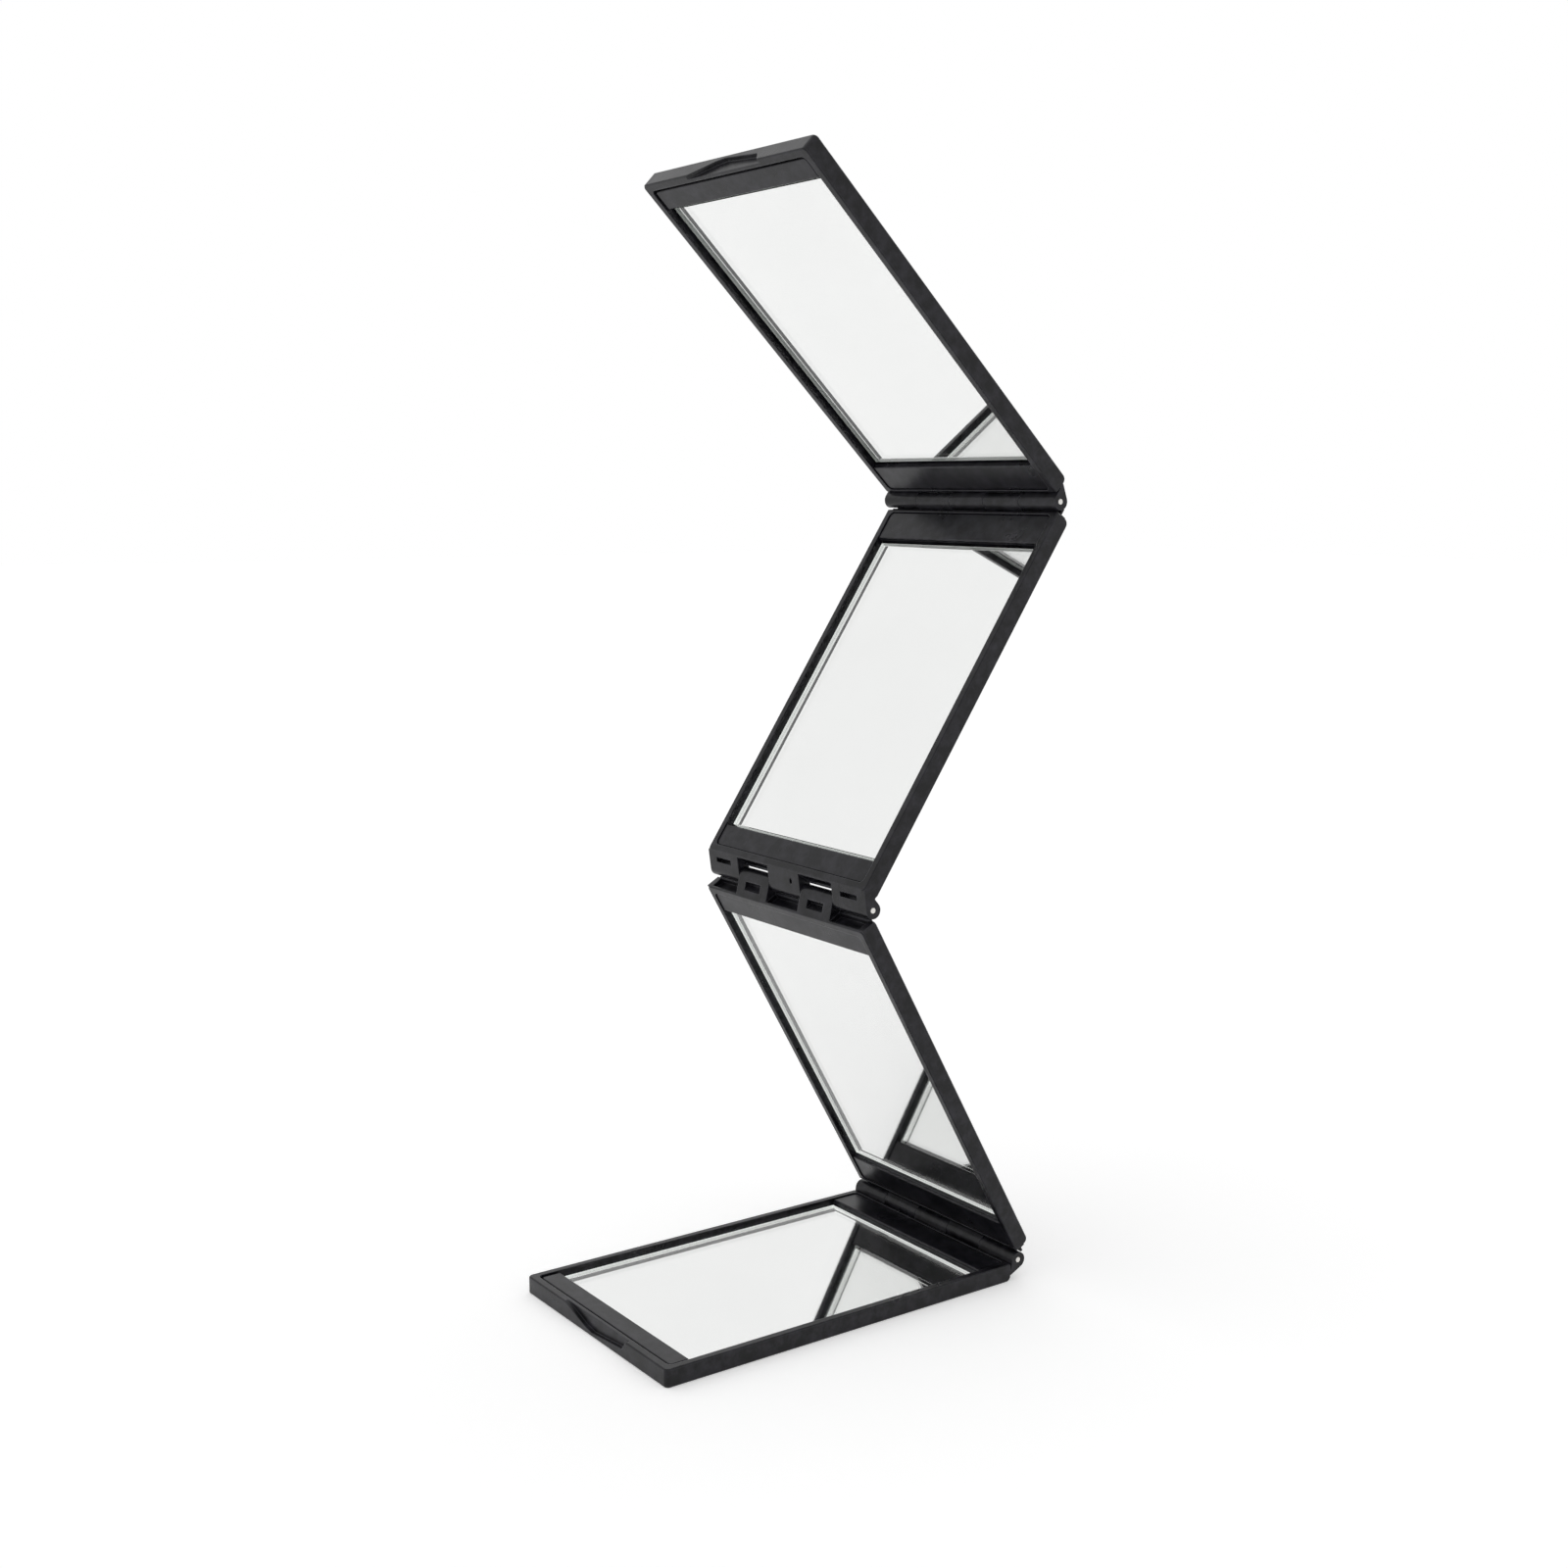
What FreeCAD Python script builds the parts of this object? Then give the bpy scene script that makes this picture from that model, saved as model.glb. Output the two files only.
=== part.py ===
"""Folding pocket mirror: four mirror panels in a strip, joined end to end by three pin hinges.

Frame: X runs along the hinge axes, +Z is up, and the origin is the centre of the base panel's
underside. The base lies flat with its mirror up. The lower panel rises from the base's +Y end and
leans back over it, the upper panel leans the other way, and the top panel leans like the lower one.

Every panel is modelled in one panel frame and then placed: x across, y along with the outer hinge
at the +y end, z from the back face (0) to the front face, which is the mirror side. All in mm.
"""
import FreeCAD, Part
import math
import os
import re

import Sketcher

SIZES = {
    # panel tray
    "panel_width": 54.5,
    "panel_length": 87.0,
    "panel_thickness": 3.8,
    "corner_radius": 1.0,
    "back_round": 1.2,
    "edge_chamfer": 0.25,
    "floor_thickness": 0.8,
    "side_rim": 1.6,
    "far_rim": 1.6,
    "hinge_rim": 0.7,
    "far_bar": 6.55,
    "hinge_bar": 7.4,
    # nail notch in the free ends: a long ramp, a step, and a floor that rises to a steep wall
    "notch_ramp_start": 11.5,
    "notch_ramp_end": 3.4,
    "notch_ramp_height": 1.3,
    "notch_floor_start": 0.6,
    "notch_floor_end": 10.9,
    "notch_floor": 0.85,
    "notch_floor_high": 1.9,
    "notch_wall": 1.6,
    "notch_depth": 0.9,
    # mirror glass and the pad that holds it
    "glass_thickness": 1.45,
    "glass_clearance": 0.7,
    "glass_arris": 0.12,
    "pad_thickness": 0.3,
    "pad_inset": 4.0,
    # end plates
    "plate_thickness": 0.8,
    "plate_step": 0.25,
    "plate_clearance": 0.1,
    "free_plate_gap": 0.6,
    "plate_corner": 1.2,
    "plate_chamfer": 0.15,
    # hinges: the outer ones stand in front of the mirror side, the middle one behind the backs
    "knuckle_count": 5,
    "knuckle_clearance": 0.16,
    "knuckle_root": 1.0,
    "barrel_radius": 1.7,
    "outer_reach": 2.0,
    "outer_rise": 0.5,
    "outer_groove": 1.3,
    "outer_notch": 0.2,
    "outer_lip": 1.8,
    "outer_lip_height": 0.5,
    "outer_lip_gap": 0.3,
    "outer_ridge": 0.145,
    "outer_ridge_drop": 0.5,
    "middle_reach": 2.05,
    "middle_drop": 0.6,
    "middle_root": 0.4,
    "middle_lip": 0.22,
    "middle_lip_height": 0.4,
    "pin_diameter": 1.4,
    "pin_clearance": 0.05,
    "pin_setback": 0.1,
    "pin_chamfer": 0.15,
    # core-outs in the knuckles of the middle hinge
    "core_length": 5.4,
    "core_setback": 0.9,
    "core_floor": 0.9,
    "wide_core": 1.4,
    "slit_core": 0.8,
    # wells in the end face, between the knuckles of the middle hinge
    "well_floor": 0.6,
    "well_lip": 0.6,
    "well_depth": 1.0,
    # gate mark on the upper tray's middle knuckle
    "gate_diameter": 0.9,
    "gate_offset": 2.5,
    "gate_setback": 1.5,
    "gate_floor": 0.7,
    # how far each hinge stands open, in degrees
    "base_angle": 60.4,
    "middle_angle": 116.4,
    "top_angle": 99.3,
}

# Places that several pieces share, as formulas of the sizes.
HALF_WIDTH = "panel_width / 2"
HINGE_END = "panel_length / 2"
FAR_END = "-panel_length / 2"
INNER_HALF_WIDTH = "(panel_width / 2 - side_rim)"
GLASS_HALF_WIDTH = "(panel_width / 2 - side_rim - glass_clearance)"
OPENING_LOW = "(-panel_length / 2 + far_bar)"
OPENING_HIGH = "(panel_length / 2 - hinge_bar)"
PLATE_SEAT = "(panel_thickness - plate_step - plate_thickness)"
GLASS_SEAT = "(floor_thickness + pad_thickness)"
OUTER_PIVOT = ("panel_length / 2 + outer_reach", "panel_thickness + outer_rise")
MIDDLE_PIVOT = ("-panel_length / 2 - middle_reach", "-middle_drop")
BORE_RADIUS = "pin_diameter / 2 + pin_clearance"
KNUCKLE_PITCH = "panel_width / knuckle_count"
CUT_MARGIN = "2 * barrel_radius"
CUT_HEIGHT = "4 * (panel_thickness + barrel_radius)"
TOLERANCE = 1e-4

doc = FreeCAD.newDocument("FoldingMirror")
sheet = doc.addObject("Spreadsheet::Sheet", "Sizes")


def fill_sheet():
    """Write each driving size in its own row, under its own alias."""
    for row, (name, value) in enumerate(SIZES.items(), start=1):
        sheet.set(f"A{row}", name)
        sheet.set(f"B{row}", str(value))
        sheet.setAlias(f"B{row}", name)
    doc.recompute()


def formula(text):
    """Turn a formula of size names into an expression that reads the sheet."""
    def cell(match):
        return f"Sizes.{match[0]}" if match[0] in SIZES else match[0]
    return re.sub(r"[a-z_]+", cell, text)


def value_of(text):
    """The number that a formula of size names gives now."""
    return float(sheet.evalExpression(formula(text)))


def bind(feature, prop, text):
    """Tie one property of a feature to a formula of size names."""
    feature.setExpression(prop, formula(text))


def new_body(label):
    body = doc.addObject("PartDesign::Body", label)
    body.Label = label
    return body


def new_sketch(body, name, role, lift="0"):
    """A sketch on one of the body's origin planes, lifted along the plane's normal."""
    sketch = body.newObject("Sketcher::SketchObject", name)
    plane = next(item for item in body.Origin.OriginFeatures if item.Role == role)
    sketch.AttachmentSupport = (plane, "")
    sketch.MapMode = "FlatFace"
    bind(sketch, "AttachmentOffset.Base.z", lift)
    return sketch


def point_of(place):
    return FreeCAD.Vector(value_of(place[0]), value_of(place[1]), 0)


def set_constraint(sketch, kind, *arguments, text):
    """Add a dimension and tie it to a formula."""
    index = sketch.addConstraint(Sketcher.Constraint(kind, *arguments, value_of(text)))
    bind(sketch, f"Constraints[{index}]", text)


def pin_point(sketch, geometry, position, place):
    """Hold a point of the sketch at a place given by two formulas."""
    set_constraint(sketch, "DistanceX", -1, 1, geometry, position, text=place[0])
    set_constraint(sketch, "DistanceY", -1, 1, geometry, position, text=place[1])


def add_polygon(sketch, corners):
    """A closed outline of straight lines through corners given by formulas."""
    points = [point_of(corner) for corner in corners]
    lines = []
    for start, end in zip(points, points[1:] + points[:1]):
        lines.append(sketch.addGeometry(Part.LineSegment(start, end)))
    for line, following, corner in zip(lines, lines[1:] + lines[:1], corners[1:] + corners[:1]):
        sketch.addConstraint(Sketcher.Constraint("Coincident", line, 2, following, 1))
        pin_point(sketch, line, 2, corner)


def add_rectangle(sketch, left, right, low, high):
    add_polygon(sketch, [(left, low), (right, low), (right, high), (left, high)])


def add_circle(sketch, centre, radius):
    circle = Part.Circle(point_of(centre), FreeCAD.Vector(0, 0, 1), value_of(radius))
    index = sketch.addGeometry(circle)
    pin_point(sketch, index, 3, centre)
    set_constraint(sketch, "Radius", index, text=radius)


def pad(body, sketch, name, length, symmetric=False):
    feature = body.newObject("PartDesign::Pad", name)
    feature.Profile = sketch
    feature.Midplane = symmetric
    bind(feature, "Length", length)
    return feature


def pocket(body, sketch, name, length, symmetric=False):
    """Cut a sketch into the body, and make sure that the cut takes something away."""
    doc.recompute()
    before = body.Tip.Shape.Volume
    feature = body.newObject("PartDesign::Pocket", name)
    feature.Profile = sketch
    feature.Midplane = symmetric
    bind(feature, "Length", length)
    doc.recompute()
    if not feature.Shape.Volume < before:
        raise RuntimeError(f"{body.Label}: {name} cuts nothing")
    return feature


def soften(body, kind, name, prop, text, chosen):
    """Round or chamfer the edges of the body's last feature that the test picks."""
    doc.recompute()
    base = body.Tip
    picked = [f"Edge{number}" for number, edge in enumerate(base.Shape.Edges, start=1) if chosen(edge)]
    feature = body.newObject(kind, name)
    feature.Base = (base, picked)
    bind(feature, prop, text)
    return feature


def lies_at(edge, axis, text):
    """True for an edge that lies wholly at one level of an axis."""
    box = edge.BoundBox
    level = value_of(text)
    low = getattr(box, f"{axis}Min")
    high = getattr(box, f"{axis}Max")
    return abs(low - level) < TOLERANCE and abs(high - level) < TOLERANCE


def is_upright(edge):
    return edge.BoundBox.XLength < TOLERANCE and edge.BoundBox.YLength < TOLERANCE


def tangent_angle(centre, root, radius, side):
    """Angle on the barrel where a line from the root touches it; side is +1 or -1."""
    offset = root - centre
    return math.atan2(offset.y, offset.x) + side * math.acos(radius / offset.Length)


def add_knuckle_profile(sketch, pivot, end, inward, first_root, last_root):
    """Side profile of a hinge knuckle: a barrel round the pin bore, and a web to the panel's end.

    The barrel's arc runs anticlockwise from the tangent that leaves the panel's end face at the
    height first_root to the one that returns at last_root. Inside the panel the web is rooted by
    knuckle_root; inward is its sign along y.
    """
    centre = point_of(pivot)
    radius = value_of("barrel_radius")
    inside = f"{end} {inward} knuckle_root"
    corners = [(end, last_root), (inside, last_root), (inside, first_root), (end, first_root)]
    points = [point_of(corner) for corner in corners]
    start_angle = tangent_angle(centre, points[-1], radius, 1)
    end_angle = tangent_angle(centre, points[0], radius, -1)
    while end_angle < start_angle:
        end_angle += 2 * math.pi
    barrel = Part.Circle(centre, FreeCAD.Vector(0, 0, 1), radius)
    arc = sketch.addGeometry(Part.ArcOfCircle(barrel, start_angle, end_angle))
    stops = [barrel.value(end_angle), *points, barrel.value(start_angle)]
    lines = []
    for begin, finish in zip(stops, stops[1:]):
        lines.append(sketch.addGeometry(Part.LineSegment(begin, finish)))
    for line, following, corner in zip(lines, lines[1:], corners):
        sketch.addConstraint(Sketcher.Constraint("Coincident", line, 2, following, 1))
        pin_point(sketch, line, 2, corner)
    sketch.addConstraint(Sketcher.Constraint("Tangent", lines[-1], 2, arc, 1))
    sketch.addConstraint(Sketcher.Constraint("Tangent", arc, 2, lines[0], 1))
    pin_point(sketch, arc, 3, pivot)
    set_constraint(sketch, "Radius", arc, text="barrel_radius")
    add_circle(sketch, pivot, BORE_RADIUS)


def knuckle_edge(number):
    """Formula for the border before a knuckle, counted from the panel's -x side."""
    return f"({number} - knuckle_count / 2) * {KNUCKLE_PITCH}"


def cut_knuckle_gaps(body, name, own, end, beyond):
    """Clear the room of the neighbour's knuckles from a full-width barrel."""
    count = int(value_of("knuckle_count"))
    sketch = new_sketch(body, f"{name}Plan", "XY_Plane")
    for number in range(count):
        if number in own:
            continue
        left = f"{knuckle_edge(number)} - knuckle_clearance / 2"
        right = f"{knuckle_edge(number + 1)} + knuckle_clearance / 2"
        if number == 0:
            left = f"{knuckle_edge(0)} - {CUT_MARGIN}"
        if number == count - 1:
            right = f"{knuckle_edge(count)} + {CUT_MARGIN}"
        low, high = sorted([end, beyond], key=value_of)
        add_rectangle(sketch, left, right, low, high)
    pocket(body, sketch, name, CUT_HEIGHT, symmetric=True)


def add_lip(body, name, low, high, floor, height):
    """A thin lip along the panel's end that closes the gap beside the neighbour's barrels."""
    plan = new_sketch(body, f"{name}Plan", "XY_Plane", floor)
    half = f"({HALF_WIDTH} - corner_radius)"
    add_rectangle(plan, f"-{half}", half, low, high)
    pad(body, plan, name, height)


def knuckle_set(first, flipped):
    """Numbers of a panel's own knuckles: every other one, starting from the first or the second."""
    count = int(value_of("knuckle_count"))
    numbers = range(first, count, 2)
    return {count - 1 - number for number in numbers} if flipped else set(numbers)


def add_outer_hinge(body, own):
    """Knuckles of the hinge in front of the mirror side, at the panel's +y end."""
    sketch = new_sketch(body, "OuterKnuckleProfile", "YZ_Plane")
    low = "back_round + outer_notch"
    high = "panel_thickness - outer_groove"
    add_knuckle_profile(sketch, OUTER_PIVOT, HINGE_END, "-", first_root=low, last_root=high)
    pad(body, sketch, "OuterBarrel", "panel_width", symmetric=True)
    cut_knuckle_gaps(body, "OuterGaps", own, HINGE_END, f"{OUTER_PIVOT[0]} + {CUT_MARGIN}")
    inside = f"{HINGE_END} - knuckle_root"
    floor = f"{OUTER_PIVOT[1]} - barrel_radius - outer_lip_gap - outer_lip_height"
    add_lip(body, "OuterLip", inside, f"{HINGE_END} + outer_lip", floor, "outer_lip_height")
    ridge_end = f"{HINGE_END} + outer_reach - barrel_radius + outer_ridge"
    ridge_floor = f"{floor} + outer_lip_height"
    ridge_height = f"panel_thickness - outer_ridge_drop - ({ridge_floor})"
    add_lip(body, "OuterRidge", f"{HINGE_END} - hinge_rim / 2", ridge_end, ridge_floor, ridge_height)


def add_middle_hinge(body, own, core_width):
    """Sloped knuckles of the hinge behind the panel's back, at the -y end, with their core-outs."""
    sketch = new_sketch(body, "MiddleKnuckleProfile", "YZ_Plane")
    high = "panel_thickness - edge_chamfer"
    add_knuckle_profile(sketch, MIDDLE_PIVOT, FAR_END, "+", first_root=high, last_root="middle_root")
    pad(body, sketch, "MiddleBarrel", "panel_width", symmetric=True)
    cut_knuckle_gaps(body, "MiddleGaps", own, FAR_END, f"{MIDDLE_PIVOT[0]} - {CUT_MARGIN}")
    inside = f"{FAR_END} + knuckle_root"
    add_lip(body, "MiddleLip", f"{FAR_END} - middle_lip", inside, "0", "middle_lip_height")
    cores = new_sketch(body, "KnuckleCorePlan", "XY_Plane", "panel_thickness")
    middle = (value_of("knuckle_count") - 1) / 2
    for number in sorted(own):
        if number == middle:
            continue
        centre = knuckle_edge(number + 0.5)
        left = f"{centre} - core_length / 2"
        right = f"{centre} + core_length / 2"
        high = f"{FAR_END} - core_setback"
        add_rectangle(cores, left, right, f"{high} - {core_width}", high)
    pocket(body, cores, "KnuckleCores", "panel_thickness - core_floor")


def add_end_wells(body, own):
    """Shallow wells in the end face at the middle hinge, where the neighbour's knuckles lie."""
    count = int(value_of("knuckle_count"))
    sketch = new_sketch(body, "EndWellFace", "XZ_Plane", HINGE_END)
    for number in range(count):
        if number in own:
            continue
        left = f"-{INNER_HALF_WIDTH}" if number == 0 else knuckle_edge(number)
        right = INNER_HALF_WIDTH if number == count - 1 else knuckle_edge(number + 1)
        add_rectangle(sketch, left, right, "well_floor", "panel_thickness - well_lip")
    pocket(body, sketch, "EndWells", "well_depth")


def add_gate_mark(body):
    """The small round mark on the middle knuckle where the tray was filled."""
    sketch = new_sketch(body, "GateMarkPlan", "XY_Plane", "panel_thickness")
    add_circle(sketch, ("gate_offset", f"{FAR_END} - gate_setback"), "gate_diameter / 2")
    pocket(body, sketch, "GateMark", "panel_thickness - gate_floor")


def add_nail_notch(body, side):
    """A shallow notch in the free end, to lift the panel with a finger nail.

    Its ramp lies on the -x side of the panel, or on the +x side where side is -1.
    """
    sketch = new_sketch(body, "NailNotchFace", "XZ_Plane", HINGE_END)
    outline = [
        ("-notch_ramp_start", "panel_thickness"),
        ("-notch_ramp_end", "notch_ramp_height"),
        ("-notch_floor_start", "notch_floor"),
        ("notch_floor_end", "notch_floor_high"),
        ("notch_floor_end + notch_wall", "panel_thickness"),
        ("notch_floor_end + notch_wall", "2 * panel_thickness"),
        ("-notch_ramp_start", "2 * panel_thickness"),
    ]
    add_polygon(sketch, [(f"{side} * ({across})", height) for across, height in outline])
    pocket(body, sketch, "NailNotch", "notch_depth")


def add_tray_block(body):
    """The panel's outer block, with its back rounded at the hinge end and its edges softened."""
    plan = new_sketch(body, "PanelPlan", "XY_Plane")
    add_rectangle(plan, f"-{HALF_WIDTH}", HALF_WIDTH, FAR_END, HINGE_END)
    pad(body, plan, "PanelBlock", "panel_thickness")

    def back_edge(edge):
        return lies_at(edge, "Z", "0") and lies_at(edge, "Y", HINGE_END)

    def far_corner(edge):
        return is_upright(edge) and lies_at(edge, "Y", FAR_END)

    def outer_edge(edge):
        return lies_at(edge, "Z", "0") or lies_at(edge, "Z", "panel_thickness")

    soften(body, "PartDesign::Fillet", "BackRound", "Radius", "back_round", back_edge)
    soften(body, "PartDesign::Fillet", "FarCorners", "Radius", "corner_radius", far_corner)
    soften(body, "PartDesign::Chamfer", "EdgeChamfers", "Size", "edge_chamfer", outer_edge)


def add_tray_recesses(body):
    """The shallow recess of the end plates, rim to rim, and the deeper bed of the mirror."""
    seat = new_sketch(body, "PlateSeatPlan", "XY_Plane", "panel_thickness")
    low = f"{FAR_END} + far_rim"
    high = f"{HINGE_END} - hinge_rim"
    add_rectangle(seat, f"-{INNER_HALF_WIDTH}", INNER_HALF_WIDTH, low, high)
    pocket(body, seat, "PlateSeats", "plate_step + plate_thickness")

    def recess_corner(edge):
        at_end = lies_at(edge, "Y", low) or lies_at(edge, "Y", high)
        return is_upright(edge) and at_end

    soften(body, "PartDesign::Fillet", "SeatCorners", "Radius", "plate_corner", recess_corner)
    bed = new_sketch(body, "MirrorBedPlan", "XY_Plane", "panel_thickness")
    add_rectangle(bed, f"-{INNER_HALF_WIDTH}", INNER_HALF_WIDTH, OPENING_LOW, OPENING_HIGH)
    pocket(body, bed, "MirrorBed", "panel_thickness - floor_thickness")


def make_tray(label, outer_first, flipped, middle_first=None, core_width=None):
    """One moulded tray with its knuckles; without a middle hinge its far end is free and notched."""
    body = new_body(label)
    add_tray_block(body)
    add_tray_recesses(body)
    add_outer_hinge(body, knuckle_set(outer_first, flipped))
    if middle_first is None:
        add_nail_notch(body, -1 if flipped else 1)
    else:
        own = knuckle_set(middle_first, flipped)
        add_middle_hinge(body, own, core_width)
        add_end_wells(body, own)
    return body


def make_mirror(label):
    """A float glass with a fine arris round its front edge, silvered behind."""
    body = new_body(label)
    plan = new_sketch(body, "GlassPlan", "XY_Plane", GLASS_SEAT)
    low = f"{OPENING_LOW} + glass_clearance"
    high = f"{OPENING_HIGH} - glass_clearance"
    add_rectangle(plan, f"-{GLASS_HALF_WIDTH}", GLASS_HALF_WIDTH, low, high)
    pad(body, plan, "Glass", "glass_thickness")

    def front_edge(edge):
        return lies_at(edge, "Z", f"{GLASS_SEAT} + glass_thickness")

    soften(body, "PartDesign::Chamfer", "Arris", "Size", "glass_arris", front_edge)
    return body


def make_pad(label):
    """The thin adhesive pad between the tray's floor and the glass."""
    body = new_body(label)
    plan = new_sketch(body, "PadPlan", "XY_Plane", "floor_thickness")
    half = f"{GLASS_HALF_WIDTH} - pad_inset"
    low = f"{OPENING_LOW} + glass_clearance + pad_inset"
    high = f"{OPENING_HIGH} - glass_clearance - pad_inset"
    add_rectangle(plan, f"-({half})", half, low, high)
    pad(body, plan, "Pad", "pad_thickness")
    return body


def make_plate(label, outer, inner, gap):
    """An end plate from near the outer rim to the mirror opening, with two rounded outer corners."""
    body = new_body(label)
    plan = new_sketch(body, "PlatePlan", "XY_Plane", PLATE_SEAT)
    half = f"{INNER_HALF_WIDTH} - {gap}"
    low, high = sorted([outer, inner], key=value_of)
    add_rectangle(plan, f"-({half})", half, low, high)
    pad(body, plan, "Plate", "plate_thickness")

    def outer_corner(edge):
        return is_upright(edge) and lies_at(edge, "Y", outer)

    def top_edge(edge):
        return lies_at(edge, "Z", f"{PLATE_SEAT} + plate_thickness")

    soften(body, "PartDesign::Fillet", "OuterCorners", "Radius", f"plate_corner - {gap}", outer_corner)
    soften(body, "PartDesign::Chamfer", "TopEdges", "Size", "plate_chamfer", top_edge)
    return body


def make_far_plate(label, gap):
    return make_plate(label, f"{FAR_END} + far_rim + {gap}", OPENING_LOW, gap)


def make_hinge_plate(label):
    gap = "plate_clearance"
    return make_plate(label, f"{HINGE_END} - hinge_rim - {gap}", OPENING_HIGH, gap)


def make_pin(label, pivot):
    """A straight steel pin in the bores of one hinge, just short of the outer knuckles' faces."""
    body = new_body(label)
    section = new_sketch(body, "PinSection", "YZ_Plane")
    add_circle(section, pivot, "pin_diameter / 2")
    pad(body, section, "Pin", "panel_width - 2 * pin_setback", symmetric=True)

    def end_edge(edge):
        half_length = "(panel_width / 2 - pin_setback)"
        return lies_at(edge, "X", half_length) or lies_at(edge, "X", f"-{half_length}")

    soften(body, "PartDesign::Chamfer", "PinEnds", "Size", "pin_chamfer", end_edge)
    return body


def folded_over(pivot):
    """Placement of a panel folded shut about a pivot: turned face to face with its neighbour."""
    height = value_of(pivot[1])
    turn = FreeCAD.Rotation(FreeCAD.Vector(0, 1, 0), 180)
    return FreeCAD.Placement(FreeCAD.Vector(0, 0, 2 * height), turn)


def opened_about(pivot, angle):
    """Placement that swings a folded panel open about the pivot's axis."""
    centre = FreeCAD.Vector(0, value_of(pivot[0]), value_of(pivot[1]))
    swing = FreeCAD.Rotation(FreeCAD.Vector(1, 0, 0), -value_of(angle))
    return FreeCAD.Placement(FreeCAD.Vector(0, 0, 0), swing, centre)


def panel_placements():
    """Each panel's place: the next panel folds and opens about its hinge with the one before."""
    places = {"base": FreeCAD.Placement()}
    hinges = [
        ("base", "lower", OUTER_PIVOT, "base_angle"),
        ("lower", "upper", MIDDLE_PIVOT, "middle_angle"),
        ("upper", "top", OUTER_PIVOT, "top_angle"),
    ]
    for carrier, carried, pivot, angle in hinges:
        places[carried] = places[carrier] * opened_about(pivot, angle) * folded_over(pivot)
    return places


def make_trays():
    """The four trays by panel; the lower and top ones are turned over, so their knuckles mirror."""
    trays = {
        "base": make_tray("base_tray", 0, False),
        "lower": make_tray("lower_tray", 1, True, 1, "wide_core"),
        "upper": make_tray("upper_tray", 1, False, 0, "slit_core"),
        "top": make_tray("top_tray", 0, True),
    }
    add_gate_mark(trays["upper"])
    return trays


def make_panels():
    """All pieces of the four panels, by panel. Pins stay with the panel that has the end knuckles."""
    far_plates = {
        "base": ("free", "free_plate_gap"),
        "lower": ("middle", "plate_clearance"),
        "upper": ("middle", "plate_clearance"),
        "top": ("free", "free_plate_gap"),
    }
    panels = {}
    for panel, tray in make_trays().items():
        place, gap = far_plates[panel]
        panels[panel] = [
            tray,
            make_mirror(f"{panel}_mirror"),
            make_pad(f"{panel}_pad"),
            make_hinge_plate(f"{panel}_hinge_plate"),
            make_far_plate(f"{panel}_{place}_plate", gap),
        ]
    panels["base"].append(make_pin("base_pin", OUTER_PIVOT))
    panels["upper"].append(make_pin("middle_pin", MIDDLE_PIVOT))
    panels["top"].append(make_pin("top_pin", OUTER_PIVOT))
    return panels


def check_document():
    """Stop if any object of the document failed to build."""
    for item in doc.Objects:
        if "Invalid" in item.State or "Error" in item.State:
            raise RuntimeError(f"{item.Label} failed: {item.State}")


def write_parts(bodies):
    """Check every piece, then write each one under its own name."""
    for body in bodies:
        shape = body.Shape
        if shape.isNull() or not shape.isValid() or len(shape.Solids) != 1:
            raise RuntimeError(f"{body.Label} is not one valid solid")
    os.makedirs("parts", exist_ok=True)
    for body in bodies:
        body.Shape.exportStep(f"parts/{body.Label}.step")


def main():
    fill_sheet()
    panels = make_panels()
    places = panel_placements()
    bodies = []
    for panel, pieces in panels.items():
        for piece in pieces:
            piece.Placement = places[panel]
            bodies.append(piece)
    doc.recompute()
    check_document()
    write_parts(bodies)


main()
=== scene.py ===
"""Folding pocket mirror: the finish of its four panels, the layers of their glass, and a white stage."""

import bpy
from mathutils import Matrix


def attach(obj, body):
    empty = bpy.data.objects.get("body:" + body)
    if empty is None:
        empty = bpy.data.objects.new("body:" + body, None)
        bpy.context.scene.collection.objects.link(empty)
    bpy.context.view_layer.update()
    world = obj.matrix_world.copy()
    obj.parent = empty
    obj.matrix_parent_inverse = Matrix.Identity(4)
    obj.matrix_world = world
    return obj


bl_info = {
    "name": "Folding Pocket Mirror",
    "version": (1, 0, 0),
    "blender": (4, 5, 0),
    "location": "3D Viewport > Sidebar > Pocket Mirror",
    "description": "Finishes the pieces of a folding pocket mirror and sets up its stage",
    "category": "Object",
}

import math

import bpy
import numpy as np
from bpy.props import FloatProperty, FloatVectorProperty, PointerProperty
from mathutils import Matrix, Vector

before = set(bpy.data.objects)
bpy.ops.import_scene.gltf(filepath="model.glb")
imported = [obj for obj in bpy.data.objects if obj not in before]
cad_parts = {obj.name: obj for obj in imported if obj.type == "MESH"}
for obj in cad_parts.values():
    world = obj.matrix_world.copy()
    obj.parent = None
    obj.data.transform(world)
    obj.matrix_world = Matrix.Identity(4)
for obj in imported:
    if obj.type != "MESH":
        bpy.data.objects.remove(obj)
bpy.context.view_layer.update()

MILLIMETRE = 0.001
PANELS = ("base", "lower", "upper", "top")
PINS = ("base_pin", "middle_pin", "top_pin")
# Face attribute that holds the strength of the painted glow on each ground edge.
PAINTED_GLOW_ATTRIBUTE = "painted_edge_glow"
# Share of the painted glow, an emission standing in for light, at a sheet's far end, +across side,
# hinge end and -across side, as light as each edge looks. The sides that turn to +X, away from the brighter
# surround, get none.
PAINTED_GLOW_SHARES = {
    "base": (1.0, 0.0, 1.0, 1.0),
    "lower": (1.0, 1.0, 1.0, 0.0),
    "upper": (0.9, 0.0, 0.0, 0.9),
    "top": (0.0, 0.0, 0.0, 0.0),
}
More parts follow.
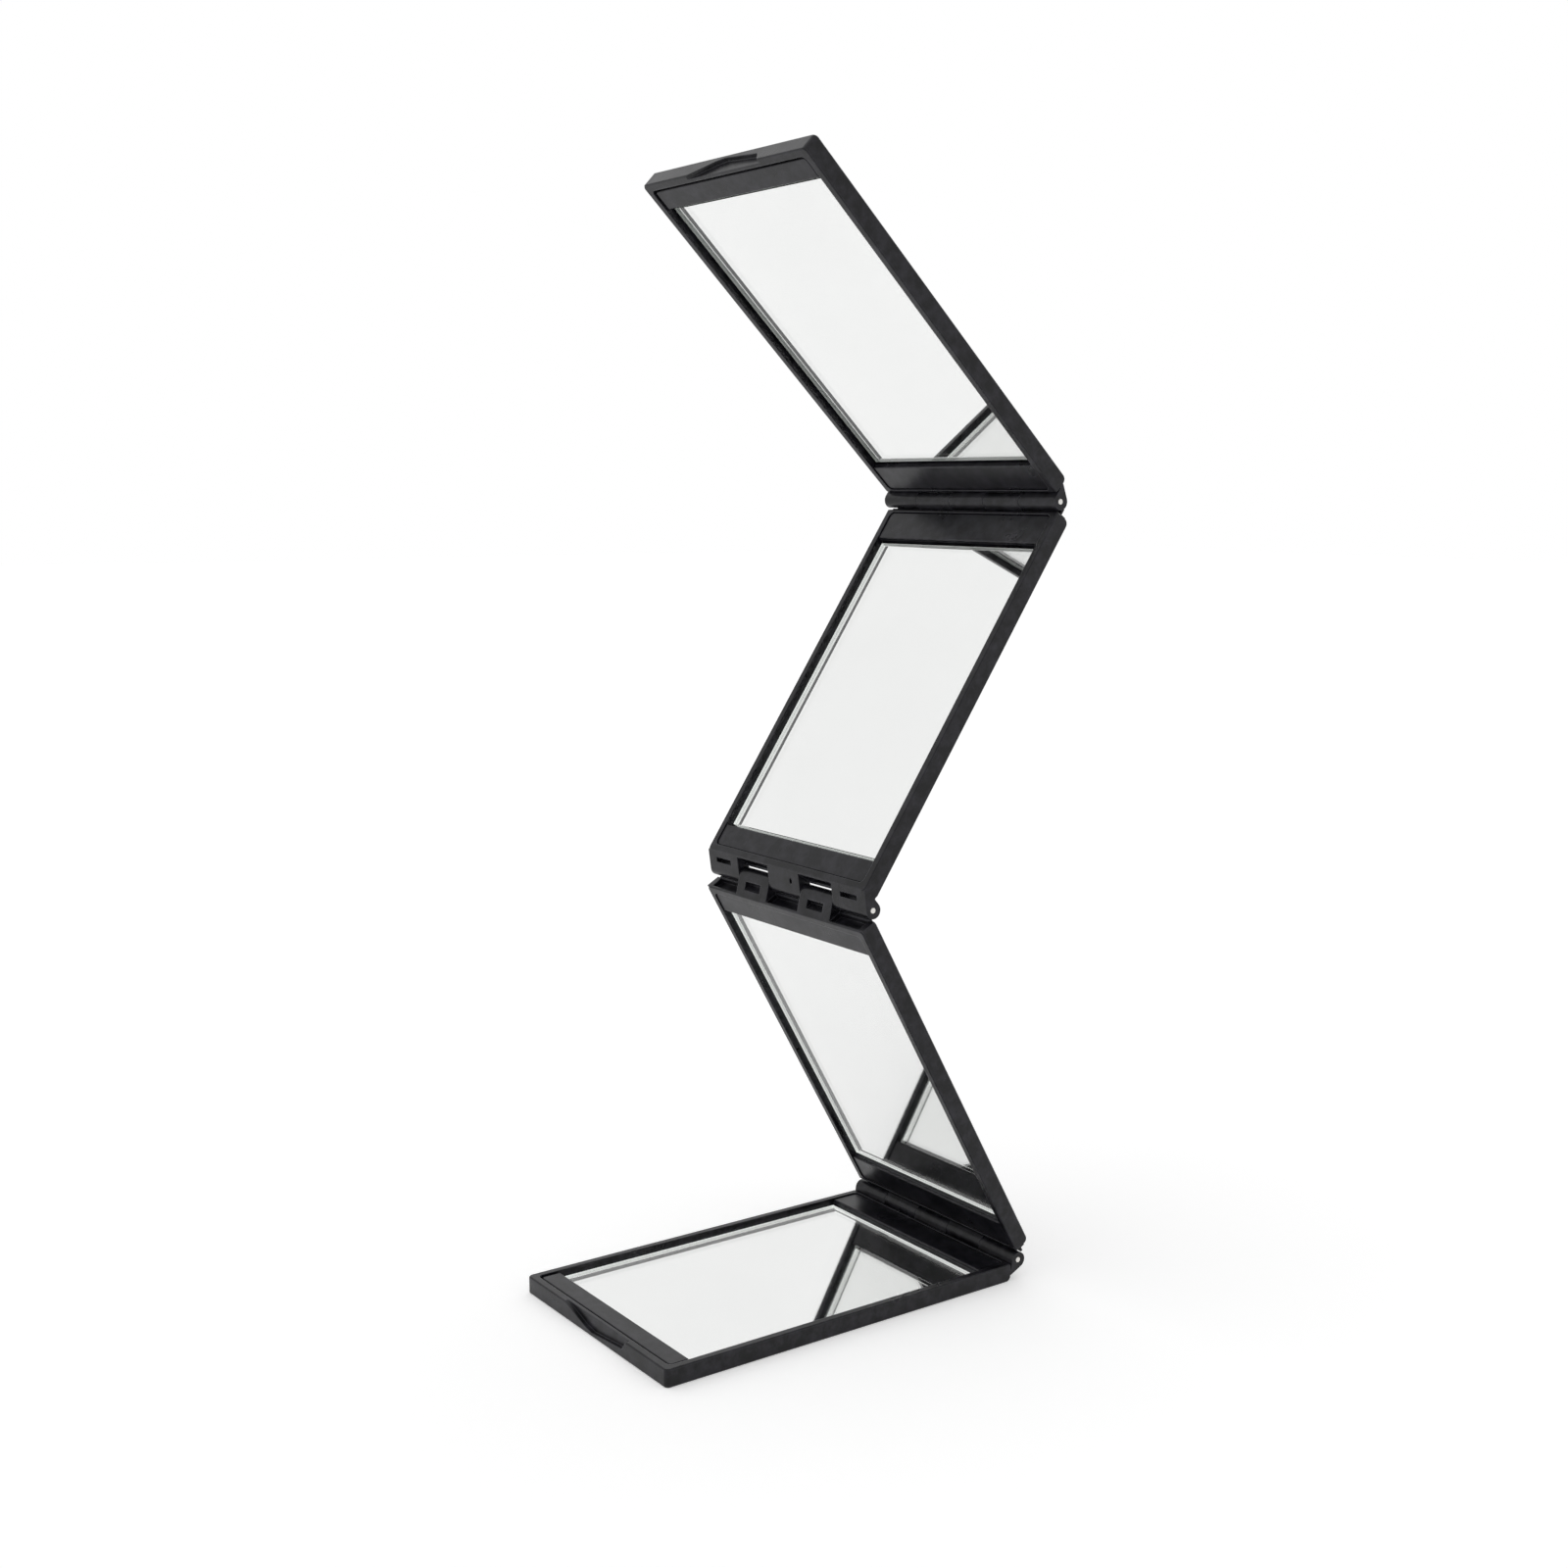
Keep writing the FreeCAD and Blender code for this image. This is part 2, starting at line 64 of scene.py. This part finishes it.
# Sizes of the surfaces' patterns, in mm. The grit and the foam's cells here, and the dimples and
# draw marks in the settings, are drawn a few times coarser than the real ones, so that they show.
HANDLING_PATCH = 9.0
DIMPLE_DEPTH = 0.02
WIPE_SMEAR = 14.0
SILVER_CLOUD = 25.0
GRIT = 0.3
FOAM_CELL = 0.25
FOAM_CELL_DEPTH = 0.05
# Marks on a drawn pin are long: along the pin their pattern is shrunk to this share of its scale.
DRAW_STRETCH = 0.02
# Half the floor's side and the nearest distance that the camera shows, in metres.
FLOOR_REACH = 4.0
NEAREST_SEEN = 0.01
# Decimals of a metre to which a CAD node's corners, and the levels of a glass, are told apart.
CORNER_DECIMALS = 7
LEVEL_DECIMALS = 6
RECTANGLE = np.array([[-1.0, -1.0], [1.0, -1.0], [1.0, 1.0], [-1.0, 1.0]])
COAT_FACES = np.array([
    [3, 2, 1, 0], [4, 5, 6, 7],
    [0, 1, 5, 4], [1, 2, 6, 5], [2, 3, 7, 6], [3, 0, 4, 7],
])


def linear(hex_colour):
    """Linear RGB of an sRGB hex colour: a straight line near black, a 2.4 power above it."""
    srgb = np.array([int(hex_colour[at:at + 2], 16) for at in (1, 3, 5)]) / 255
    toe = srgb / 12.92
    curve = ((srgb + 0.055) / 1.055) ** 2.4
    return tuple(np.where(srgb <= 0.04045, toe, curve))


def opaque(colour):
    """A colour with full alpha, as shader sockets take it."""
    return (*colour, 1.0)


def repeats_per_metre(size_mm):
    """Scale of a pattern whose features are that many millimetres across."""
    return 1 / (size_mm * MILLIMETRE)


def colour_property(name, description, hex_colour):
    """A colour setting whose default is an sRGB hex colour."""
    return FloatVectorProperty(
        name=name, description=description, subtype="COLOR", size=3, min=0.0, max=1.0,
        default=linear(hex_colour),
    )


class PlasticSettings(bpy.types.PropertyGroup):
    """The moulded plastic of the trays and end plates."""

    tray_colour: colour_property("Tray", "Black of the moulded trays", "#0b0b0e")
    plate_colour: colour_property("Plate", "Black of the end plates", "#0c0c11")
    bloom_colour: colour_property("Bloom", "Grey bloom and fine scuffs left by handling", "#2a292f")
    # Lighter edges: part wear from handling, part a painted highlight along them.
    edge_wear_and_highlight_colour: colour_property("Rubbed edge", "Edges polished by handling", "#404046")
    grain: FloatProperty(
        name="Grain", description="Width of one dimple of the spark-eroded mould, in mm",
        default=0.4, min=0.05,
    )
    bloom: FloatProperty(
        name="Bloom size", description="Width of one patch of bloom, in mm", default=3.0, min=0.1,
    )
    # Width of the band that the Bevel node rounds and that takes the lighter edge colour: wear and painted
    # highlight.
    edge_band: FloatProperty(
        name="Edge rub", description="Width of the rubbed band along an edge, in mm",
        default=0.25, min=0.0,
    )


class GlassSettings(bpy.types.PropertyGroup):
    """The silvered glass: a clear sheet, ground edges and the silver behind it."""

    glass_tint: colour_property("Glass", "Tint of the clear float glass", "#fcfefd")
    silver_colour: colour_property("Silver", "Colour of the silver coat", "#f3f2f2")
    cloud_colour: colour_property("Silver cloud", "Colour of the coat where it is clouded", "#efeeee")
    edge_colour: colour_property("Ground edge", "Frosted white of the ground edge", "#e9ebe9")
    pit_colour: colour_property("Edge pits", "Colour of the deeper pits in that edge", "#cfd6d1")
    clear_margin: FloatProperty(
        name="Clear margin", description="Bare glass round the silver coat",
        default=0.1 * MILLIMETRE, unit="LENGTH", precision=5,
    )
    # The painted glow: an emission on the ground edges that stands in for the light reaching them.
    painted_glow_strength: FloatProperty(
        name="Side light", description="Light that the sheet pipes to its ground edges",
        default=0.7, min=0.0,
    )
    layer: FloatProperty(
        name="Layer", description="Thickness of the silver coat and of the frosted skin",
        default=0.02 * MILLIMETRE, unit="LENGTH", precision=5,
    )


class MetalSettings(bpy.types.PropertyGroup):
    """The hinge pins and the adhesive pads, which show least."""

    steel_colour: colour_property("Pin steel", "Drawn steel of the hinge pins", "#d9d7d3")
    pad_colour: colour_property("Adhesive pad", "Acrylic foam behind the glass", "#d8d6cf")
    draw_mark: FloatProperty(
        name="Draw mark", description="Spacing of the drawing marks round a pin, in mm",
        default=0.12, min=0.02,
    )


class StageSettings(bpy.types.PropertyGroup):
    """The floor, the surround and the camera."""

    floor_colour: colour_property("Floor", "White of the floor", "#f4f4f4")
    floor_lift: FloatProperty(
        name="Floor lift", description="Light that the floor gives of itself", default=0.23, min=0.0,
    )
    floor_seen: FloatProperty(
        name="Floor seen", description="The same light where the floor is seen, straight or mirrored",
        default=0.34, min=0.0,
    )
    light_side: FloatProperty(
        name="Light side", description="Brightness of the surround on the -X side",
        default=0.95, min=0.0,
    )
    dark_side: FloatProperty(
        name="Dark side", description="Brightness of the surround on the +X side",
        default=0.6, min=0.0,
    )
    low_shade: FloatProperty(
        name="Low shade", description="Share of that brightness left at the horizon",
        default=0.86, min=0.0,
    )
    camera_place: FloatVectorProperty(
        name="Camera", description="Where the camera stands", subtype="XYZ", unit="LENGTH",
        default=(0.31267, -0.22238, 0.16632), precision=4,
    )
    camera_yaw: FloatProperty(
        name="Yaw", description="Turn of the view to the left of +Y", subtype="ANGLE",
        default=math.radians(54.225),
    )
    camera_pitch: FloatProperty(
        name="Pitch", description="Downward tilt of the view", subtype="ANGLE",
        default=math.radians(10.308),
    )
    camera_roll: FloatProperty(
        name="Roll", description="Turn of the camera about its own axis", subtype="ANGLE",
        default=math.radians(-0.196),
    )
    camera_lens: FloatProperty(
        name="Lens", description="Focal length on a 36 mm sensor, in mm", default=44.078, min=1.0,
    )
    camera_shift: FloatVectorProperty(
        name="Shift", description="Framing shift as a share of the picture", size=2,
        default=(0.0, 0.035), precision=3,
    )


def add_node(tree, kind, inputs=None, **settings):
    """Adds a node, with its settings; inputs maps a socket to a value or to another node's socket."""
    node = tree.nodes.new(kind)
    for name, value in settings.items():
        setattr(node, name, value)
    for socket, value in (inputs or {}).items():
        if isinstance(value, bpy.types.NodeSocket):
            tree.links.new(value, node.inputs[socket])
        else:
            node.inputs[socket].default_value = value
    return node


def new_material(name):
    """An empty node material: the tree and its output node."""
    material = bpy.data.materials.new(name)
    material.use_nodes = True
    tree = material.node_tree
    tree.nodes.clear()
    output = add_node(tree, "ShaderNodeOutputMaterial")
    return material, tree, output


def wear(piece_name, material):
    """Puts a material on a CAD node in place of the plain one that came with it."""
    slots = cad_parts[piece_name].data.materials
    slots.clear()
    slots.append(material)


def moulded_abs(name, colour, settings):
    """Black ABS from a spark-eroded mould: satin and dimpled, with grey bloom, and edges lighter from hand
    wear and a painted highlight.
    """
    material, tree, output = new_material(name)
    place = add_node(tree, "ShaderNodeTexCoord").outputs["Object"]
    dimples = add_node(tree, "ShaderNodeTexNoise", {
        "Vector": place, "Scale": repeats_per_metre(settings.grain), "Detail": 2.0,
    })
    handling = add_node(tree, "ShaderNodeTexNoise", {
        "Vector": place, "Scale": repeats_per_metre(HANDLING_PATCH), "Detail": 3.0,
    })
    gloss = add_node(tree, "ShaderNodeMapRange", {
        "Value": handling.outputs["Fac"],
        "From Min": 0.3, "From Max": 0.7, "To Min": 0.26, "To Max": 0.34,
    })
    rounded = add_node(
        tree, "ShaderNodeBevel", {"Radius": settings.edge_band * MILLIMETRE}, samples=6,
    )
    flat = add_node(tree, "ShaderNodeNewGeometry").outputs["True Normal"]
    facing = add_node(
        tree, "ShaderNodeVectorMath", {0: rounded.outputs["Normal"], 1: flat}, operation="DOT_PRODUCT",
    )
    # Edges painted lighter: part handling wear, part a painted highlight.
    wear_and_highlight = add_node(tree, "ShaderNodeMapRange", {
        "Value": facing.outputs["Value"],
        "From Min": 1.0, "From Max": 0.8, "To Min": 0.0, "To Max": 1.0,
    })
    patches = add_node(tree, "ShaderNodeTexNoise", {
        "Vector": place, "Scale": repeats_per_metre(settings.bloom),
        "Detail": 6.0, "Roughness": 0.65,
    })
    bloom = add_node(tree, "ShaderNodeMapRange", {
        "Value": patches.outputs["Fac"],
        "From Min": 0.42, "From Max": 0.72, "To Min": 0.0, "To Max": 1.0,
    })
    black = add_node(tree, "ShaderNodeMix", {
        "Factor": bloom.outputs["Result"], "A": opaque(colour), "B": opaque(settings.bloom_colour),
    }, data_type="RGBA")
    shade = add_node(tree, "ShaderNodeMix", {
        "Factor": wear_and_highlight.outputs["Result"],
        "A": black.outputs["Result"], "B": opaque(settings.edge_wear_and_highlight_colour),
    }, data_type="RGBA")
    bump = add_node(tree, "ShaderNodeBump", {
        "Strength": 0.4, "Distance": DIMPLE_DEPTH * MILLIMETRE,
        "Height": dimples.outputs["Fac"], "Normal": rounded.outputs["Normal"],
    })
    surface = add_node(tree, "ShaderNodeBsdfPrincipled", {
        "Base Color": shade.outputs["Result"], "Roughness": gloss.outputs["Result"],
        "Normal": bump.outputs["Normal"], "IOR": 1.5, "Specular IOR Level": 0.25,
    })
    tree.links.new(surface.outputs["BSDF"], output.inputs["Surface"])
    return material


def float_glass(name, settings):
    """Clear float glass, cut and polished: sharp highlights, with faint smears left by wiping."""
    material, tree, output = new_material(name)
    place = add_node(tree, "ShaderNodeTexCoord").outputs["Object"]
    smears = add_node(tree, "ShaderNodeTexNoise", {
        "Vector": place, "Scale": repeats_per_metre(WIPE_SMEAR), "Detail": 4.0, "Distortion": 0.6,
    })
    haze = add_node(tree, "ShaderNodeMapRange", {
        "Value": smears.outputs["Fac"],
        "From Min": 0.5, "From Max": 0.8, "To Min": 0.0, "To Max": 0.015,
    })
    surface = add_node(tree, "ShaderNodeBsdfPrincipled", {
        "Base Color": opaque(settings.glass_tint), "Roughness": haze.outputs["Result"],
        "IOR": 1.52, "Transmission Weight": 1.0,
    })
    tree.links.new(surface.outputs["BSDF"], output.inputs["Surface"])
    return material


def silver_coat(name, settings):
    """Silver laid on the back of the glass by wet plating: a bright mirror with a trace of cloud."""
    material, tree, output = new_material(name)
    place = add_node(tree, "ShaderNodeTexCoord").outputs["Object"]
    cloud = add_node(tree, "ShaderNodeTexNoise", {
        "Vector": place, "Scale": repeats_per_metre(SILVER_CLOUD), "Detail": 2.0,
    })
    shade = add_node(tree, "ShaderNodeMix", {
        "Factor": cloud.outputs["Fac"],
        "A": opaque(settings.silver_colour), "B": opaque(settings.cloud_colour),
    }, data_type="RGBA")
    surface = add_node(tree, "ShaderNodeBsdfPrincipled", {
        "Base Color": shade.outputs["Result"], "Metallic": 1.0, "Roughness": 0.01,
    })
    tree.links.new(surface.outputs["BSDF"], output.inputs["Surface"])
    return material


def ground_glass(name, settings):
    """The glass's sawn and ground edge: a frosted white, with a painted glow, an emission that stands in
    for light reaching it through the sheet.
    """
    material, tree, output = new_material(name)
    place = add_node(tree, "ShaderNodeTexCoord").outputs["Object"]
    grit = add_node(tree, "ShaderNodeTexNoise", {
        "Vector": place, "Scale": repeats_per_metre(GRIT), "Detail": 3.0,
    })
    shade = add_node(tree, "ShaderNodeMix", {
        "Factor": grit.outputs["Fac"],
        "A": opaque(settings.edge_colour), "B": opaque(settings.pit_colour),
    }, data_type="RGBA")
    # Painted glow: emission on the edge, its strength read per face.
    glow_share = add_node(tree, "ShaderNodeAttribute", attribute_name=PAINTED_GLOW_ATTRIBUTE)
    surface = add_node(tree, "ShaderNodeBsdfPrincipled", {
        "Base Color": shade.outputs["Result"], "Roughness": 0.8,
        "Emission Color": opaque(settings.edge_colour), "Emission Strength": glow_share.outputs["Fac"],
    })
    tree.links.new(surface.outputs["BSDF"], output.inputs["Surface"])
    return material


def drawn_steel(name, settings):
    """Steel wire drawn through a die and cut: grey metal with marks that run along the pin."""
    material, tree, output = new_material(name)
    place = add_node(tree, "ShaderNodeTexCoord").outputs["Object"]
    along = add_node(tree, "ShaderNodeMapping", {"Vector": place, "Scale": (DRAW_STRETCH, 1.0, 1.0)})
    marks = add_node(tree, "ShaderNodeTexNoise", {
        "Vector": along.outputs["Vector"],
        "Scale": repeats_per_metre(settings.draw_mark), "Detail": 2.0,
    })
    gloss = add_node(tree, "ShaderNodeMapRange", {
        "Value": marks.outputs["Fac"],
        "From Min": 0.3, "From Max": 0.7, "To Min": 0.25, "To Max": 0.5,
    })
    surface = add_node(tree, "ShaderNodeBsdfPrincipled", {
        "Base Color": opaque(settings.steel_colour),
        "Metallic": 1.0, "Roughness": gloss.outputs["Result"],
    })
    tree.links.new(surface.outputs["BSDF"], output.inputs["Surface"])
    return material


def acrylic_foam(name, settings):
    """Closed-cell acrylic foam, die cut: a dull pale pad pitted with small cells."""
    material, tree, output = new_material(name)
    place = add_node(tree, "ShaderNodeTexCoord").outputs["Object"]
    cells = add_node(tree, "ShaderNodeTexVoronoi", {
        "Vector": place, "Scale": repeats_per_metre(FOAM_CELL),
    })
    bump = add_node(tree, "ShaderNodeBump", {
        "Strength": 0.4, "Distance": FOAM_CELL_DEPTH * MILLIMETRE, "Height": cells.outputs["Distance"],
    })
    surface = add_node(tree, "ShaderNodeBsdfPrincipled", {
        "Base Color": opaque(settings.pad_colour), "Roughness": 0.9, "Normal": bump.outputs["Normal"],
    })
    tree.links.new(surface.outputs["BSDF"], output.inputs["Surface"])
    return material


def corners_of(node):
    """The distinct vertices of a CAD node, in metres."""
    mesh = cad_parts[node].data
    flat = np.empty(len(mesh.vertices) * 3)
    mesh.vertices.foreach_get("co", flat)
    return np.unique(flat.reshape(-1, 3).round(CORNER_DECIMALS), axis=0)


def glass_frame(panel):
    """Axes (across, along, facing), centre and half sizes of a panel's glass, from its pad and glass.

    The pad is a plain slab, so the principal directions of its corners are the panel's own axes.
    Along points to the outer hinge, facing to the mirror side, and across completes the right hand.
    """
    pad = corners_of(f"{panel}_pad")
    glass = corners_of(f"{panel}_mirror")
    along, _, facing = np.linalg.svd(pad - pad.mean(axis=0))[2]
    facing = facing * np.sign((glass.mean(axis=0) - pad.mean(axis=0)) @ facing)
    hinge = corners_of(f"{panel}_hinge_plate").mean(axis=0) - pad.mean(axis=0)
    along = along * np.sign(hinge @ along)
    axes = np.array([np.cross(along, facing), along, facing])
    spans = glass @ axes.T
    low, high = spans.min(axis=0), spans.max(axis=0)
    return axes, (low + high) / 2, (high - low) / 2


def arris_of(panel, axes):
    """Width of the arris on the glass's front edge: the step below its highest level."""
    levels = np.unique((corners_of(f"{panel}_mirror") @ axes[2]).round(LEVEL_DECIMALS))
    return levels[-1] - levels[-2]


def closed_ring(path, inward, section):
    """Points of a profile carried round a closed path: path corner + inset x inward + rise.

    path is (n, 3), inward holds the unit mitre of each corner, and section rows are (inset, rise).
    """
    inset, rise = section[:, 0], section[:, 1]
    points = path[:, None, :] + inset[None, :, None] * inward[:, None, :]
    points[..., 2] += rise[None, :]
    return points


def grid_faces(rows, columns):
    """Quads of a grid that closes on itself in both directions, facing out of the ring."""
    row, column = np.meshgrid(np.arange(rows), np.arange(columns), indexing="ij")
    next_row = (row + 1) % rows
    next_column = (column + 1) % columns
    corners = [
        row * columns + column,
        row * columns + next_column,
        next_row * columns + next_column,
        next_row * columns + column,
    ]
    return np.stack(corners, axis=-1).reshape(-1, 4)


def add_piece(name, points, faces, material, body):
    """A mesh piece at the origin, with its own material, that rides on a body."""
    mesh = bpy.data.meshes.new(name)
    mesh.from_pydata(points.reshape(-1, 3).tolist(), [], faces.tolist())
    mesh.validate()
    mesh.materials.append(material)
    piece = bpy.data.objects.new(name, mesh)
    bpy.context.scene.collection.objects.link(piece)
    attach(piece, body)
    return piece


def frosted_skin(panel, settings):
    """Points of the frosted skin just under the glass's four side faces.

    A thin upright section is carried round the glass's outline, one layer inside it.
    """
    axes, centre, half = glass_frame(panel)
    arris = arris_of(panel, axes)
    outline = RECTANGLE * (half[:2] - settings.layer)
    path = np.column_stack([outline, np.full(len(outline), -half[2])])
    inward = np.column_stack([-RECTANGLE, np.zeros(len(RECTANGLE))])
    top = 2 * half[2] - arris - settings.layer
    section = np.array([
        [0.0, settings.layer], [settings.layer, settings.layer], [settings.layer, top], [0.0, top],
    ])
    points = closed_ring(path, inward, section)
    return (points + centre) @ axes


def coat_points(panel, settings):
    """Points of the silver coat: a thin slab on the glass's back face, inside the clear margin.

    Two rectangles, the back one a layer above the glass's back and the front one a layer higher.
    """
    axes, centre, half = glass_frame(panel)
    outline = RECTANGLE * (half[:2] - settings.clear_margin)
    levels = -half[2] + settings.layer * np.array([1.0, 2.0])
    points = np.stack([np.column_stack([outline, np.full(len(outline), level)]) for level in levels])
    return (points + centre) @ axes


class FinishTrays(bpy.types.Operator):
    """Give the four trays their moulded black plastic"""

    bl_idname = "pocket_mirror.finish_trays"
    bl_label = "Finish Trays"

    def execute(self, context):
        settings = context.scene.mirror_plastic
        material = moulded_abs("black_abs_spark_eroded", settings.tray_colour, settings)
        for panel in PANELS:
            wear(f"{panel}_tray", material)
        return {"FINISHED"}


class FinishPlates(bpy.types.Operator):
    """Give the end plates their moulded black plastic, a shade apart from the trays"""

    bl_idname = "pocket_mirror.finish_plates"
    bl_label = "Finish End Plates"

    def execute(self, context):
        settings = context.scene.mirror_plastic
        material = moulded_abs("black_abs_fine_moulded", settings.plate_colour, settings)
        plates = [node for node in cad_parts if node.endswith("_plate")]
        for node in plates:
            wear(node, material)
        return {"FINISHED"}


class FinishMirrors(bpy.types.Operator):
    """Make the glass clear and lay its silver coat and frosted edges inside it"""

    bl_idname = "pocket_mirror.finish_mirrors"
    bl_label = "Finish Mirrors"

    def execute(self, context):
        settings = context.scene.mirror_glass
        glass = float_glass("float_glass_polished", settings)
        silver = silver_coat("silver_wet_plated", settings)
        frosted = ground_glass("glass_edge_ground", settings)
        for panel in PANELS:
            wear(f"{panel}_mirror", glass)
            body = f"{panel}_panel"
            add_piece(f"{panel}_silver_coat", coat_points(panel, settings), COAT_FACES, silver, body)
            ring = frosted_skin(panel, settings)
            sides, strips = ring.shape[:2]
            skin = add_piece(f"{panel}_ground_edge", ring, grid_faces(sides, strips), frosted, body)
            # Paint the glow on each side of the ground edge: emission, as strong as that side's share.
            light = skin.data.attributes.new(PAINTED_GLOW_ATTRIBUTE, "FLOAT", "FACE")
            strengths = settings.painted_glow_strength * np.array(PAINTED_GLOW_SHARES[panel])
            light.data.foreach_set("value", np.repeat(strengths, strips))
        return {"FINISHED"}


class FinishPads(bpy.types.Operator):
    """Give the adhesive pads their pale foam"""

    bl_idname = "pocket_mirror.finish_pads"
    bl_label = "Finish Pads"

    def execute(self, context):
        material = acrylic_foam("acrylic_foam_die_cut", context.scene.mirror_metal)
        for panel in PANELS:
            wear(f"{panel}_pad", material)
        return {"FINISHED"}


class FinishPins(bpy.types.Operator):
    """Give the hinge pins their drawn steel"""

    bl_idname = "pocket_mirror.finish_pins"
    bl_label = "Finish Pins"

    def execute(self, context):
        material = drawn_steel("steel_wire_drawn", context.scene.mirror_metal)
        for pin in PINS:
            wear(pin, material)
        return {"FINISHED"}


def showing_rays(tree):
    """A socket that is 1 for rays that show the background: to the camera, off gloss, through glass."""
    rays = add_node(tree, "ShaderNodeLightPath").outputs
    mirrored = add_node(tree, "ShaderNodeMath", {
        0: rays["Is Glossy Ray"], 1: rays["Is Transmission Ray"],
    }, operation="MAXIMUM")
    shown = add_node(tree, "ShaderNodeMath", {
        0: rays["Is Camera Ray"], 1: mirrored.outputs["Value"],
    }, operation="MAXIMUM")
    return shown.outputs["Value"]


def white_floor(settings):
    """White floor: matt card that keeps the soft shadow, with a little light of its own added."""
    material, tree, output = new_material("white_card_matt")
    matt = add_node(tree, "ShaderNodeBsdfDiffuse", {"Color": opaque(settings.floor_colour)})
    strength = add_node(tree, "ShaderNodeMix", {
        "Factor": showing_rays(tree), "A": settings.floor_lift, "B": settings.floor_seen,
    })
    lift = add_node(tree, "ShaderNodeEmission", {"Strength": strength.outputs["Result"]})
    both = add_node(tree, "ShaderNodeAddShader", {0: matt.outputs["BSDF"], 1: lift.outputs["Emission"]})
    tree.links.new(both.outputs["Shader"], output.inputs["Surface"])
    return material


def set_world(settings):
    """A surround that looks white, straight or mirrored, and lights the object less from the +X side."""
    world = bpy.data.worlds.new("white_surround")
    world.use_nodes = True
    tree = world.node_tree
    tree.nodes.clear()
    output = add_node(tree, "ShaderNodeOutputWorld")
    direction = add_node(tree, "ShaderNodeTexCoord").outputs["Generated"]
    towards = add_node(tree, "ShaderNodeSeparateXYZ", {"Vector": direction}).outputs
    side = add_node(tree, "ShaderNodeMapRange", {
        "Value": towards["X"], "From Min": -0.3, "From Max": 0.5,
        "To Min": settings.light_side, "To Max": settings.dark_side,
    }, interpolation_type="SMOOTHSTEP")
    height = add_node(tree, "ShaderNodeMapRange", {
        "Value": towards["Z"], "From Min": 0.2, "From Max": 0.6,
        "To Min": settings.low_shade, "To Max": 1.0,
    }, interpolation_type="SMOOTHSTEP")
    both = add_node(tree, "ShaderNodeMath", {
        0: side.outputs["Result"], 1: height.outputs["Result"],
    }, operation="MULTIPLY")
    strength = add_node(tree, "ShaderNodeMix", {
        "Factor": showing_rays(tree), "A": both.outputs["Value"], "B": 1.0,
    })
    light = add_node(tree, "ShaderNodeBackground", {
        "Color": opaque((1.0, 1.0, 1.0)), "Strength": strength.outputs["Result"],
    })
    tree.links.new(light.outputs["Background"], output.inputs["Surface"])
    bpy.context.scene.world = world


def camera_matrix(settings):
    """The camera's axes from yaw, pitch and roll: right and up turned by roll about the view line."""
    yaw, pitch, roll = settings.camera_yaw, settings.camera_pitch, settings.camera_roll
    flat = math.cos(pitch)
    forward = Vector((-math.sin(yaw) * flat, math.cos(yaw) * flat, -math.sin(pitch)))
    level = Vector((math.cos(yaw), math.sin(yaw), 0.0))
    down = forward.cross(level)
    right = math.cos(roll) * level + math.sin(roll) * down
    up = math.sin(roll) * level - math.cos(roll) * down
    turn = Matrix((right, up, -forward)).transposed()
    return Matrix.Translation(settings.camera_place) @ turn.to_4x4()


def lay_floor(settings):
    """A square of white card under the object, wide enough to fill every view."""
    mesh = bpy.data.meshes.new("floor")
    corners = np.column_stack([RECTANGLE * FLOOR_REACH, np.zeros(len(RECTANGLE))])
    mesh.from_pydata(corners.tolist(), [], [[0, 1, 2, 3]])
    mesh.materials.append(white_floor(settings))
    floor = bpy.data.objects.new("floor", mesh)
    bpy.context.scene.collection.objects.link(floor)


def place_camera(settings):
    """The camera at its place, with its lens and framing shift."""
    data = bpy.data.cameras.new("camera")
    data.lens = settings.camera_lens
    data.shift_x, data.shift_y = settings.camera_shift
    data.clip_start = NEAREST_SEEN
    camera = bpy.data.objects.new("camera", data)
    camera.matrix_world = camera_matrix(settings)
    bpy.context.scene.collection.objects.link(camera)
    bpy.context.scene.camera = camera


class SetStage(bpy.types.Operator):
    """Lay the white floor, light the surround and place the camera"""

    bl_idname = "pocket_mirror.set_stage"
    bl_label = "Set Stage"

    def execute(self, context):
        settings = context.scene.mirror_stage
        lay_floor(settings)
        set_world(settings)
        place_camera(settings)
        context.scene.view_settings.view_transform = "Standard"
        return {"FINISHED"}


OPERATORS = (FinishTrays, FinishPlates, FinishMirrors, FinishPads, FinishPins, SetStage)


class MirrorPanel(bpy.types.Panel):
    """Lists the steps that finish the mirror"""

    bl_idname = "VIEW3D_PT_pocket_mirror"
    bl_label = "Pocket Mirror"
    bl_space_type = "VIEW_3D"
    bl_region_type = "UI"
    bl_category = "Pocket Mirror"

    def draw(self, context):
        for operator in OPERATORS:
            self.layout.operator(operator.bl_idname)


GROUPS = {
    "mirror_plastic": PlasticSettings,
    "mirror_glass": GlassSettings,
    "mirror_metal": MetalSettings,
    "mirror_stage": StageSettings,
}
CLASSES = (*GROUPS.values(), *OPERATORS, MirrorPanel)


def register():
    """Registers the classes and hangs each group of settings on the scene."""
    for cls in CLASSES:
        bpy.utils.register_class(cls)
    for name, group in GROUPS.items():
        setattr(bpy.types.Scene, name, PointerProperty(type=group))


def unregister():
    """Takes the settings and classes off again, in the opposite order."""
    for name in GROUPS:
        delattr(bpy.types.Scene, name)
    for cls in reversed(CLASSES):
        bpy.utils.unregister_class(cls)


def main():
    """Finishes every piece in order and sets the stage."""
    register()
    for operator in OPERATORS:
        group, name = operator.bl_idname.split(".")
        getattr(getattr(bpy.ops, group), name)()


if __name__ == "__main__":
    main()
